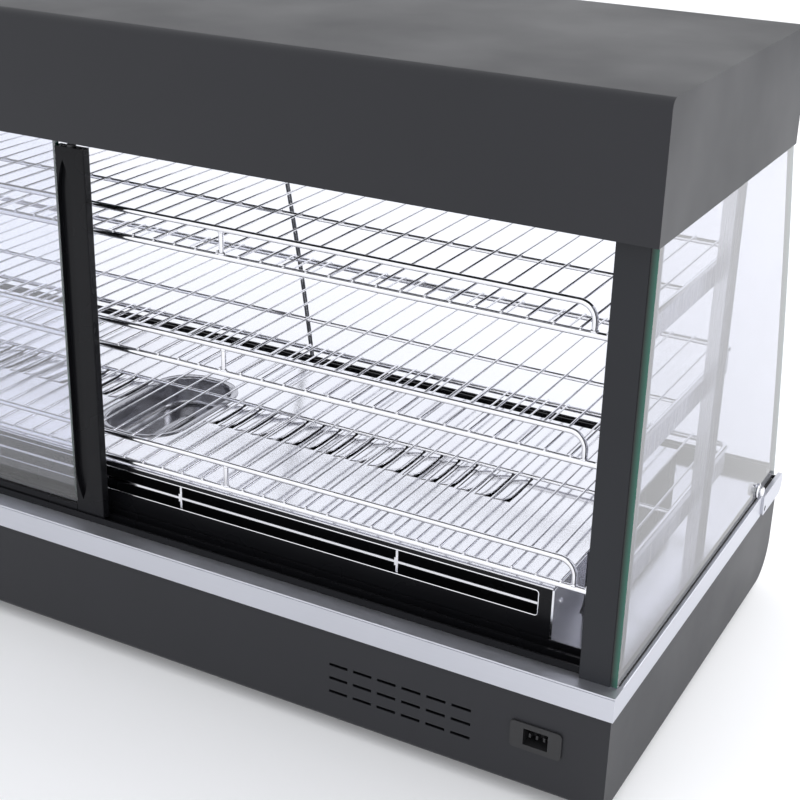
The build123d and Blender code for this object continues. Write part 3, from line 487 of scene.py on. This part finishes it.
def pane_glass(name, tint, bend, face_axis=None, rim=None):
    """Clear glass.  With a face axis, the faces that point another way are cut edges and look green.
    With a rim, the faces that point to the doors look green, and the green deepens inwards from the
    outer arris, which stands `rim` metres from the middle."""
    glass = Finish(name)
    face = clear_face(glass, tint, bend)
    output = glass.tree.nodes["Material Output"]
    if face_axis is None and rim is None:
        glass.tree.nodes.remove(glass.shader)
        glass.link(face, output.inputs["Surface"])
        return glass
    split = glass.node("ShaderNodeSeparateXYZ")
    glass.link(glass.coordinates.outputs["Normal"], split.inputs["Vector"])
    is_edge = glass.node("ShaderNodeMath", operation="LESS_THAN")
    size = glass.node("ShaderNodeMath", operation="ABSOLUTE")
    if rim is None:
        glass.link(split.outputs[face_axis], size.inputs[0])
        glass.link(size.outputs["Value"], is_edge.inputs[0])
        is_edge.inputs[1].default_value = 0.5
        depth = glass.noise(6.0)
    else:
        place = glass.node("ShaderNodeSeparateXYZ")
        glass.link(glass.coordinates.outputs["Object"], place.inputs["Vector"])
        glass.link(place.outputs["X"], size.inputs[0])
        glass.link(split.outputs["Y"], is_edge.inputs[0])
        is_edge.inputs[1].default_value = -0.5
        depth = glass.between(size.outputs["Value"], rim - PANE_SHEET, rim, 0.0, 1.0)
    glass.colours(depth, EDGE_DARK, EDGE_LIGHT)
    glass.roughness(glass.noise(40.0), 0.10, 0.18)
    both = glass.node("ShaderNodeMixShader")
    glass.link(is_edge.outputs["Value"], both.inputs["Fac"])
    glass.link(face, both.inputs[1])
    glass.link(glass.shader.outputs["BSDF"], both.inputs[2])
    glass.link(both.outputs["Shader"], output.inputs["Surface"])
    return glass


PANE_SHEET = 0.006
PANE_RIM = 0.606
EDGE_DARK = (0.001, 0.008, 0.005)
EDGE_LIGHT = (0.022, 0.115, 0.082)
# The grey tint of the end panes is painted shade: it darkens all that is seen through them.
side_pane_painted_shade = pane_glass("side_pane_painted_shade", (0.72, 0.725, 0.765), 2.2, rim=PANE_RIM)
side_pane_painted_shade.wear_on(["side_glass_right", "side_glass_left"])
door_pane = pane_glass("door_pane", (0.95, 0.955, 0.975), 2.0, "Y")
door_pane.wear_on(["door_glass_right", "door_glass_left"])
curved_pane = pane_glass("curved_pane", (0.94, 0.945, 0.965), 1.6)
curved_pane.wear_on(["customer_pane_right", "customer_pane_left"])
print("glass finishes:", side_pane_painted_shade.material.name, door_pane.material.name, curved_pane.material.name)

# %% [markdown]
# ## Rubber, plastic and lamps
# The small parts differ mostly in how they scatter light: rubber is dull, the sealant between the
# two customer panes is grey and dull too, moulded plastic has a fine spark-eroded grain, and a lens
# is smooth.

# %% Small-part finishes
rubber = Finish("black_rubber", Specular_IOR_Level=0.3)
rubber.colours(rubber.noise(40.0), (0.012, 0.012, 0.012), (0.020, 0.020, 0.021))
rubber.roughness(rubber.noise(90.0), 0.65, 0.8)
rubber.bump(rubber.noise(700.0), 0.0001)
rubber.wear_on(["rubber_feet", "side_seals"])

sealant = Finish("grey_sealant", Specular_IOR_Level=0.3)
sealant.colours(sealant.noise(60.0), (0.060, 0.061, 0.066), (0.090, 0.091, 0.098))
sealant.roughness(sealant.noise(80.0), 0.5, 0.65)
sealant.bump(sealant.noise(300.0), 0.00006)
sealant.wear_on(["customer_joint"])

plastic = Finish("moulded_plastic", Specular_IOR_Level=0.45)
plastic.colours(plastic.noise(50.0), (0.014, 0.014, 0.015), (0.022, 0.022, 0.024))
plastic.roughness(plastic.noise(120.0), 0.38, 0.5)
plastic.bump(plastic.noise(2500.0, 2.0), 0.00006)
plastic.wear_on(["power_rocker", "light_rocker", "switch_frames", "mains_inlet",
                 "door_guides_right", "door_guides_left"])

panel = Finish("control_face", Specular_IOR_Level=0.45)
panel.colours(panel.noise(10.0), (0.045, 0.046, 0.050), (0.058, 0.059, 0.064))
panel.roughness(panel.noise(30.0), 0.35, 0.45)
panel.bump(panel.noise(1800.0), 0.00003)
panel.wear_on(["control_plate"])

window = Finish("readout_window", Specular_IOR_Level=0.5, Coat_Weight=1.0)
window.colours(window.noise(60.0), (0.010, 0.004, 0.004), (0.020, 0.007, 0.006))
window.roughness(window.noise(60.0), 0.05, 0.12)
window.wear_on(["readout"])

amber = Finish("amber_lens", Specular_IOR_Level=0.5, Coat_Weight=0.6)
amber.colours(amber.noise(200.0), (0.70, 0.22, 0.03), (0.85, 0.33, 0.06))
amber.roughness(amber.noise(80.0), 0.12, 0.2)
amber.wear_on(["pilot_lamp"])

quartz = Finish("lamp_quartz", Transmission_Weight=0.35)
quartz.colours(quartz.noise(40.0), (0.86, 0.84, 0.78), (0.94, 0.92, 0.88))
quartz.roughness(quartz.noise(60.0), 0.25, 0.4)
quartz.wear_on(["heat_lamps"])

ceramic = Finish("lamp_ceramic", Specular_IOR_Level=0.5)
ceramic.colours(ceramic.noise(35.0), (0.72, 0.71, 0.67), (0.80, 0.79, 0.75))
ceramic.roughness(ceramic.noise(40.0), 0.25, 0.35)
ceramic.wear_on(["lamp_holders"])
print(len(bpy.data.materials), "materials in all")

# %% [markdown]
# ## Wire shelves
# A shelf is a frame of thick rod with round corners, a middle rod, and thin cross wires that a
# machine presses and spot-welds onto both.  The CAD shelf has the right rods but sharp cut ends.
# Here every wire has a domed end, and each crossing gets the small bead of metal that the weld
# squeezes out.

# %% Build the shelves
FRAME_ROD = 0.0032
MIDDLE_ROD = 0.0022
WIRE = 0.0012
WIRE_PITCH = 0.0242
WIRES_EACH_SIDE = 23
PRESSED_IN = 0.0003
CORNER_BEND = 0.009


def shelf_pieces(level):
    """Frame, cross wires and weld beads of one shelf, in the box of its CAD node."""
    node = "shelf_" + level
    low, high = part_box(node)
    x_side = high.x - FRAME_ROD
    overhang = 0.0015
    y_front, y_back = low.y + FRAME_ROD, high.y - FRAME_ROD
    z = low.z + FRAME_ROD
    loop = [(-x_side, y_front, z), (x_side, y_front, z), (x_side, y_back, z), (-x_side, y_back, z)]
    frame_rod = rod_grid(bent_route(loop, CORNER_BEND, 8, closed=True), FRAME_ROD, (0, 0, 1), 16, closed=True)
    rod = add_piece(node + "_frame", frame_rod, chrome.material, wrap_rows=True)
    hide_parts(node)

    wire_z = z + FRAME_ROD + WIRE - PRESSED_IN
    x = WIRE_PITCH * np.arange(-WIRES_EACH_SIDE, WIRES_EACH_SIDE + 1)
    starts = np.stack([x, np.full_like(x, y_front - overhang), np.full_like(x, wire_z)], -1)
    length = y_back - y_front + 2 * overhang
    add_piece(node + "_wires", straight_rods(starts, (0, 1, 0), length, WIRE), chrome.material)

    y_middle = (y_front + y_back) / 2
    middle_z = wire_z - WIRE - MIDDLE_ROD + PRESSED_IN
    crossbar = straight_rods([(-x_side, y_middle, middle_z)], (1, 0, 0), 2 * x_side, MIDDLE_ROD, 12)
    add_piece(node + "_middle_rod", crossbar, chrome.material)

    y_welds = np.array([y_front, y_middle, y_back])
    places = np.stack(np.meshgrid(x, y_welds, [wire_z - WIRE], indexing="ij"), -1).reshape(-1, 3)
    add_piece(node + "_welds", beads(places, (0.0019, 0.0026, 0.0011)), chrome.material)
    return len(x), y_middle


for level in ("top", "middle", "bottom"):
    wires, y_middle = shelf_pieces(level)
    print(level, "shelf:", wires, "cross wires, middle rod at y =", round(y_middle, 4))

# %% [markdown]
# ## Guard rails
# A guard keeps plates from sliding off at the doors.  It is one rod with both ends bent down onto
# the shelf frame, and two short posts between.  Each foot is welded all round, so it stands in a
# small collar of weld metal.

# %% Build the guard rails
GUARD_ROD = 0.0028
GUARD_POST = 0.0024
GUARD_BEND = 0.015
POST_X = 0.174


def guard_pieces(level):
    """Bent rail, two posts, four weld collars and two head welds of one shelf's guard."""
    node = "guard_rail_" + level
    low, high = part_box(node)
    x = high.x - GUARD_ROD
    y = (low.y + high.y) / 2
    foot, rail_z = low.z, high.z - GUARD_ROD
    route = bent_route([(-x, y, foot), (-x, y, rail_z), (x, y, rail_z), (x, y, foot)], GUARD_BEND, 10)
    rail_rod = rod_grid(route, GUARD_ROD, (0, 1, 0), 18)
    rail = add_piece(node + "_rail", rail_rod, chrome.material)
    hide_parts(node)
    starts = [(side * POST_X, y, foot) for side in (-1, 1)]
    posts = straight_rods(starts, (0, 0, 1), rail_z - foot, GUARD_POST, 14)
    add_piece(node + "_posts", posts, chrome.material)
    feet = [(side * place, y, foot + 0.0002) for side in (-1, 1) for place in (POST_X, x)]
    collars = beads(feet, (0.0040, 0.0034, 0.0016), 8, 12)
    add_piece(node + "_collars", collars, chrome.material)
    heads = [(side * POST_X, y, rail_z - GUARD_ROD) for side in (-1, 1)]
    head_welds = beads(heads, (0.0032, 0.0030, 0.0014), 8, 12)
    add_piece(node + "_head_welds", head_welds, chrome.material)


for level in ("top", "middle", "bottom"):
    guard_pieces(level)
print("guard rails done")

# %% [markdown]
# ## Louvre hoods
# A louvre is sheared along one side and pressed up from the deck, so it is a low arch that is closed
# at the left and open at the right.  Across it the sheet rises as a quarter sine, and along it the
# height and the width both fade out at the two ends, which rounds its lip.

# %% Build the louvre hoods
HOOD_FIRST = 0.0651
HOOD_PITCH = 0.02055
HOODS_EACH_SIDE = 18
HOOD_HALF_WIDTH = 0.0085
HOOD_HEIGHT = 0.0018
HOOD_SHEET = 0.0005
HOOD_Y = (-0.078, -0.012)


def hood_grids(deck_z):
    """One grid per hood: x = closed side + width*v*(0.4 + 0.6*e), z = deck + height*e*sin(v*pi/2), with v
    from 0 to 1 across, u from -1 to 1 along, and e = sqrt(1 - u^4) the fading at the ends."""
    u = np.linspace(-1, 1, 21)[:, None]
    v = np.linspace(0, 1, 9)[None]
    fading = np.sqrt(np.clip(1 - u ** 4, 0, 1))
    first = HOOD_FIRST + HOOD_PITCH * np.arange(HOODS_EACH_SIDE)
    middles = np.concatenate([-first[::-1], first])
    x = -HOOD_HALF_WIDTH + 2 * HOOD_HALF_WIDTH * v * (0.4 + 0.6 * fading)
    y = (HOOD_Y[0] + HOOD_Y[1]) / 2 + (HOOD_Y[1] - HOOD_Y[0]) / 2 * u + 0 * v
    z = deck_z + HOOD_HEIGHT * fading * np.sin(v * np.pi / 2)
    hood = np.stack([x, y, z], -1)
    return hood[None] + middles[:, None, None, None] * np.array([1.0, 0.0, 0.0])


deck_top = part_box("deck_plate")[1].z
hoods = hood_grids(deck_top)
add_piece("deck_louvres", hoods, deck_steel.material, wrap_columns=False, wall=HOOD_SHEET)
print(len(hoods), "louvre hoods on the deck")

# %% [markdown]
# ## Water pan
# The pan is drawn from one sheet.  Its section starts under the rim, rolls round the edge, runs in
# over the top, turns down into the wall and across the bottom, and comes back outside one sheet
# lower.  That section is carried round an oblong with round corners.

# %% Build the water pan
PAN_CORNER = 0.038
PAN_RIM = 0.007


def oblong(half_x, half_y, corner, per_corner=12):
    """Outline of a rectangle with round corners, anticlockwise: corner centre + corner*(cos a, sin a)."""
    points = []
    for quarter, (sign_x, sign_y) in enumerate(((1, 1), (-1, 1), (-1, -1), (1, -1))):
        a = np.linspace(0, np.pi / 2, per_corner) + quarter * np.pi / 2
        centre = np.array([sign_x * (half_x - corner), sign_y * (half_y - corner)])
        points.append(centre + corner * np.stack([np.cos(a), np.sin(a)], -1))
    return np.concatenate(points)


def quarter_turn(middle, radius, start, steps=6):
    """Points middle + radius*(cos a, sin a) of the section, over a quarter turn clockwise from `start`."""
    a = np.radians(np.linspace(start, start - 90, steps))
    return np.array(middle) + radius * np.stack([np.cos(a), np.sin(a)], -1)


pan_low, pan_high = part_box("water_pan")
sheet, depth = 0.0009, pan_high.z - pan_low.z
edge, roll = sheet / 2, 0.0025
in_wall, out_wall = -0.0015, -0.0005
section = [
    quarter_turn((PAN_RIM - edge, -edge), edge, 0)[:1],
    quarter_turn((PAN_RIM - edge, -edge), edge, 180)[-1:],
    quarter_turn((in_wall + roll, -roll), roll, 180)[::-1],
    [(in_wall, -depth + 0.008)],
    quarter_turn((in_wall - 0.007, -depth + 0.008), 0.007, 0),
    [(-0.030, -depth + 0.001), (-0.045, -depth + 0.001), (-0.045, -depth), (-0.030, -depth)],
    quarter_turn((out_wall - 0.008, -depth + 0.008), 0.008, 0)[::-1],
    [(out_wall, -0.0016), (out_wall + 0.0007, -sheet), (PAN_RIM - edge, -sheet)],
]
half_x = (pan_high.x - pan_low.x) / 2 - PAN_RIM
half_y = (pan_high.y - pan_low.y) / 2 - PAN_RIM
pan_middle = np.array([(pan_low.x + pan_high.x) / 2, (pan_low.y + pan_high.y) / 2])
rows = []
for grow, z in np.concatenate([np.array(block) for block in section]):
    outline = pan_middle + oblong(half_x + grow, half_y + grow, max(PAN_CORNER + grow, 0.0004))
    rows.append(np.column_stack([outline, np.full(len(outline), pan_high.z + z)]))

# The pan steel is a darker copy of the deck steel: painted shade, for the shade that lies in the pan.
pan_steel_painted_shade = Finish("pan_steel_painted_shade", Metallic=1.0)
pan_steel_painted_shade.colours(pan_steel_painted_shade.noise(12.0), (0.44, 0.44, 0.46), (0.54, 0.54, 0.57))
pan_steel_painted_shade.roughness(pan_steel_painted_shade.noise(40.0, 4.0), 0.14, 0.26)
pan_steel_painted_shade.bump(pan_steel_painted_shade.noise(60.0, 3.0), 0.00004)
pan = add_piece("water_pan_drawn", rows, pan_steel_painted_shade.material, wrap_rows=True)
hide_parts("water_pan")
print("pan section has", len(rows), "rows")

# %% [markdown]
# ## Turned parts
# Knobs, the dial and screw heads are turned: a profile of distance and radius is swung round an axis.
# Flutes are a ripple of the radius, r*(1 + depth*cos(count*a)), on the rows that are gripped.
# Each row of a profile gives distance and radius in millimetres and the gripped share in
# thousandths, because one factor turns the whole table into metres and shares.

# %% Knobs, dial and screws
def turned(profile, centre, axis, sides=32, flutes=0, depth=0.0):
    """Rows at centre + axis*distance, with radius r*(1 + gripped*depth*cos(flutes*a)).  The second side
    direction is axis x first, which keeps the faces pointing outwards."""
    profile = np.asarray(profile, float)
    axis = np.asarray(axis, float)
    first = np.array([0.0, 0.0, 1.0])
    second = np.cross(axis, first)
    a = np.linspace(0, 2 * np.pi, sides, endpoint=False)[None, :, None]
    distance, radius, gripped = (profile[:, i][:, None, None] for i in range(3))
    radius = radius * (1 + gripped * depth * np.cos(flutes * a))
    return np.asarray(centre) + axis * distance + radius * (np.cos(a) * first + np.sin(a) * second)


KNOB_PROFILE = 0.001 * np.array([
    (0, 0, 0), (0, 7.1, 0), (0.4, 7.5, 0), (2.6, 7.5, 0), (3, 7.1, 0), (3, 3.9, 0), (9, 3.9, 0), (9, 7.6, 0),
    (9.3, 8, 0), (10.3, 8, 0), (10.6, 7.7, 0), (10.6, 5.1, 0), (11, 5.3, 1000), (14.4, 5.3, 1000),
    (15.1, 4.9, 0), (15.5, 4.1, 0), (15.5, 3.0, 0), (15.1, 2.8, 0), (15.1, 0, 0),
])
knob_low, knob_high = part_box("glass_knobs")
knob_y, knob_z = (knob_low.y + knob_high.y) / 2, (knob_low.z + knob_high.z) / 2
knob_start = knob_high.x - KNOB_PROFILE[-3][0]
knobs = [turned(KNOB_PROFILE, (side * knob_start, knob_y, knob_z), (side, 0, 0), 72, 24, 0.03)
         for side in (-1, 1)]
knob = add_piece("glass_knobs_turned", knobs, chrome.material)
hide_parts("glass_knobs")

DIAL_PROFILE = 0.001 * np.array([
    (0, 0, 0), (0, 11.5, 0), (0.3, 12.6, 0), (1.2, 13.8, 500), (2.5, 14.4, 1000), (9, 15, 1000),
    (9.8, 15.2, 0), (10, 16, 0), (10, 19.3, 0), (10.4, 19.9, 0), (14.2, 20, 0), (14.6, 19.6, 0),
    (14.6, 3, 0), (38.6, 3, 0), (39, 2.6, 0), (39, 0, 0),
])
dial_low, dial_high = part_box("thermostat_dial")
dial_x, dial_z = (dial_low.x + dial_high.x) / 2, (dial_low.z + dial_high.z) / 2
dial_grid = turned(DIAL_PROFILE, (dial_x, dial_low.y, dial_z), (0, 1, 0), 96, 16, 0.045)
dial = add_piece("thermostat_dial_fluted", dial_grid, plastic.material, body="dial")
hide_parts("thermostat_dial")

white_mark = Finish("printed_mark", Specular_IOR_Level=0.3)
white_mark.colours(white_mark.noise(300.0), (0.70, 0.70, 0.69), (0.80, 0.80, 0.79))
white_mark.roughness(white_mark.noise(200.0), 0.45, 0.6)
POINTER_RADIUS = 0.0075
MARK_RADIUS = 0.0245
pointer = beads([(dial_x, dial_low.y + 0.0001, dial_z + POINTER_RADIUS)], (0.0008, 0.0003, 0.0035), 9, 12)
add_piece("dial_pointer", pointer, white_mark.material, body="dial")
panel_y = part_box("control_plate")[0].y
a = np.radians(np.linspace(-135, 135, 11))
mark_x, mark_z = dial_x + MARK_RADIUS * np.sin(a), dial_z + MARK_RADIUS * np.cos(a)
marks = np.stack([mark_x, np.full_like(a, panel_y), mark_z], -1)
add_piece("dial_marks", beads(marks, (0.0008, 0.0002, 0.0008), 7, 12), white_mark.material)

SCREW_PROFILE = 0.001 * np.array([
    (0, 0, 0), (0, 2.7, 0), (0.7, 2.8, 0), (1.2, 2.5, 0), (1.6, 1.9, 0), (1.75, 1.3, 0),
    (1.2, 1.2, 0), (1.2, 0, 0),
])
STRAP_SCREW = (0.6084, 0.192, 0.1205)
END_SCREW_X, END_SCREW_Z = 0.5285, 0.176
END_SCREWS_Y = (-0.190, -0.160, 0.120)
screws, strap_screws = [], []
for side in (-1, 1):
    strap_place = (side * STRAP_SCREW[0], *STRAP_SCREW[1:])
    strap_screws.append(turned(SCREW_PROFILE, strap_place, (side, 0, 0), 24))
    for y in END_SCREWS_Y:
        screws.append(turned(SCREW_PROFILE, (side * END_SCREW_X, y, END_SCREW_Z), (side, 0, 0), 24))
screw = add_piece("end_plate_screws", screws, chrome.material)
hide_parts("small_screws")
add_piece("strap_screws", strap_screws, gloss_black.material)
print(len(knobs), "knobs, a dial with", len(marks), "marks and", len(screws), "screws")

# %% [markdown]
# ## Slot edging
# The warm-air slot is hemmed: its cut edge is folded back, which leaves a thin round bright bead all
# the way round the opening.

# %% Hem round the warm-air slot
wall_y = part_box("heater_box")[0].y
slot_x, slot_low, slot_high = 0.5135, 0.164, 0.190
hem = [(-slot_x, wall_y, slot_low), (slot_x, wall_y, slot_low),
       (slot_x, wall_y, slot_high), (-slot_x, wall_y, slot_high)]
hem_grid = rod_grid(bent_route(hem, 0.003, 6, closed=True), 0.0007, (0, 1, 0), 10, closed=True)
add_piece("slot_hem", hem_grid, chrome.material, wrap_rows=True)
print("hem stands at y =", round(wall_y, 4))
